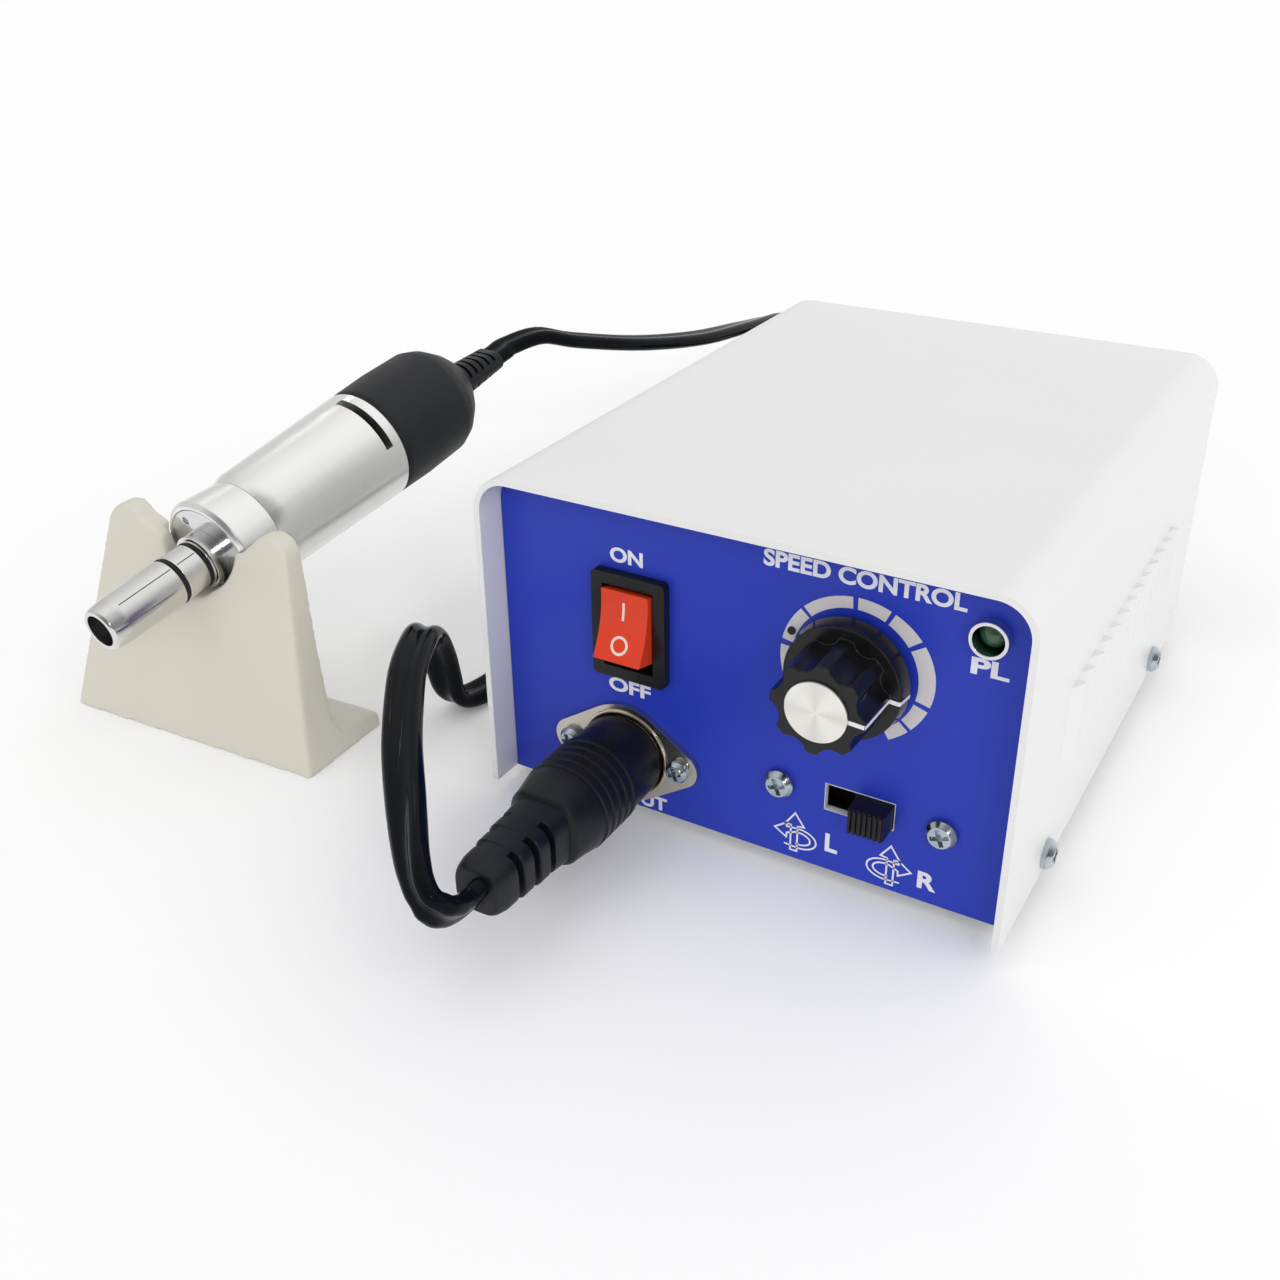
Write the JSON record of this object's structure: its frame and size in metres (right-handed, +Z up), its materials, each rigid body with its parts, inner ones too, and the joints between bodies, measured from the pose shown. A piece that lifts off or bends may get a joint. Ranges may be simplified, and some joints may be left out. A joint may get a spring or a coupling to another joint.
{
  "type": "dental micromotor",
  "caption": "White sheet metal control box with rocker switch, speed knob and slide switch, driving a metal rotary handpiece on a notched stand through a coiled flat cord.",
  "frame": {"origin": "on the table, in the middle of the footprint of the box, the stand and the handpiece", "axes": "+X to the right of the control box as seen from its front, +Y from its front panel to its rear, +Z up"},
  "size_m": [0.205, 0.3225, 0.068],
  "materials": {
    "cover_white": "white powder coat with a soft sheen",
    "plate_steel": "zinc plated sheet",
    "overlay_blue": "blue printed film",
    "zinc": "bright zinc",
    "foot_rubber": "matt",
    "black_plastic": "satin black",
    "rocker_red": "glossy red",
    "brass": "bright",
    "nickel": "nickel plated",
    "steel": "satin",
    "cap_aluminium": "spun",
    "chrome": "polished",
    "lens_green": "tinted lens",
    "board_green": "solder mask",
    "core_iron": "laminated",
    "winding_copper": "copper",
    "capacitor_sleeve": "sleeve",
    "sink_black": "anodised black",
    "stand_ivory": "moulded ivory",
    "ring_rubber": "black rubber",
    "handpiece_aluminium": "satin anodised",
    "magnet_ferrite": "ferrite",
    "holder_plastic": "moulded",
    "carbon": "carbon",
    "cap_black": "matt black",
    "cord_black": "glossy black jacket",
    "tie_black": "strap"
  },
  "bodies": {
    "control_box": {"top_cover": "cover_white", "chassis": "plate_steel", "front_overlay": "overlay_blue", "cover_screws": "zinc", "socket_screws": "zinc", "direction_screws": "zinc", "board_screws": "zinc", "transformer_screws": "zinc", "inlet_screws": "zinc", "rubber_feet": "foot_rubber", "power_switch_housing": "black_plastic", "socket_insert": "black_plastic", "mains_inlet": "black_plastic", "fuse_holder": "black_plastic", "fuse_cap": "black_plastic", "foot_pedal_jack": "black_plastic", "switch_terminals": "brass", "inlet_pins": "brass", "board_standoffs": "brass", "socket_flange": "nickel", "pot_nut": "nickel", "jack_nut": "nickel", "speed_pot": "steel", "direction_switch": "steel", "led_bezel": "chrome", "pilot_led": "lens_green", "circuit_board": "board_green", "transformer_core": "core_iron", "transformer_coil": "winding_copper", "filter_capacitor": "capacitor_sleeve", "heat_sink": "sink_black", "handpiece_stand": "stand_ivory", "cord_handpiece_run": "cord_black", "cord_coil": "cord_black", "cord_plug_run": "cord_black", "cord_tie": "tie_black"},
    "rocker": {"power_rocker": "rocker_red"},
    "knob": {"speed_knob": "black_plastic", "knob_cap": "cap_aluminium", "pot_shaft": "steel"},
    "slider": {"direction_slider": "black_plastic"},
    "handpiece": {"coupling_nose": "chrome", "nose_o_rings": "ring_rubber", "front_plate": "chrome", "front_plate_screws": "steel", "front_ring": "handpiece_aluminium", "motor_barrel": "handpiece_aluminium", "stator_magnets": "magnet_ferrite", "rotor_bearings": "steel", "brush_holder": "holder_plastic", "carbon_brushes": "carbon", "rear_cap": "cap_black", "strain_relief": "cord_black"},
    "rotor": {"rotor_shaft": "steel", "armature_core": "core_iron", "commutator": "winding_copper"},
    "plug": {"plug_body": "cord_black", "plug_shell": "nickel", "plug_pins": "brass"}
  },
  "joints": [
    {"name": "power_rocker_tilt", "type": "hinge", "parent": "control_box", "child": "rocker", "pos_m": [0.02764, -0.04338, 0.042], "axis": [1, 0, 0], "range_deg": [0, 30]},
    {"name": "speed_knob_turn", "type": "hinge", "parent": "control_box", "child": "knob", "pos_m": [0.06984, -0.05128, 0.045], "axis": [0, 1, 0], "range_deg": [-248, 52]},
    {"name": "direction_slide", "type": "slide", "parent": "control_box", "child": "slider", "axis": [1, 0, 0], "range_m": [-0.0058, 0]},
    {"name": "handpiece_lift", "type": "slide", "parent": "control_box", "child": "handpiece", "axis": [0, 0, 1], "range_m": [0, 0.04], "deforming": ["cord_handpiece_run"]},
    {"name": "rotor_spin", "type": "hinge", "parent": "handpiece", "child": "rotor", "pos_m": [-0.06812, -0.0549, 0.0379], "axis": [0.0601, 0.9824, 0.1771], "continuous": true},
    {"name": "plug_pull", "type": "slide", "parent": "control_box", "child": "plug", "axis": [0, -1, 0], "range_m": [0, 0.014], "deforming": ["cord_plug_run"]}
  ]
}
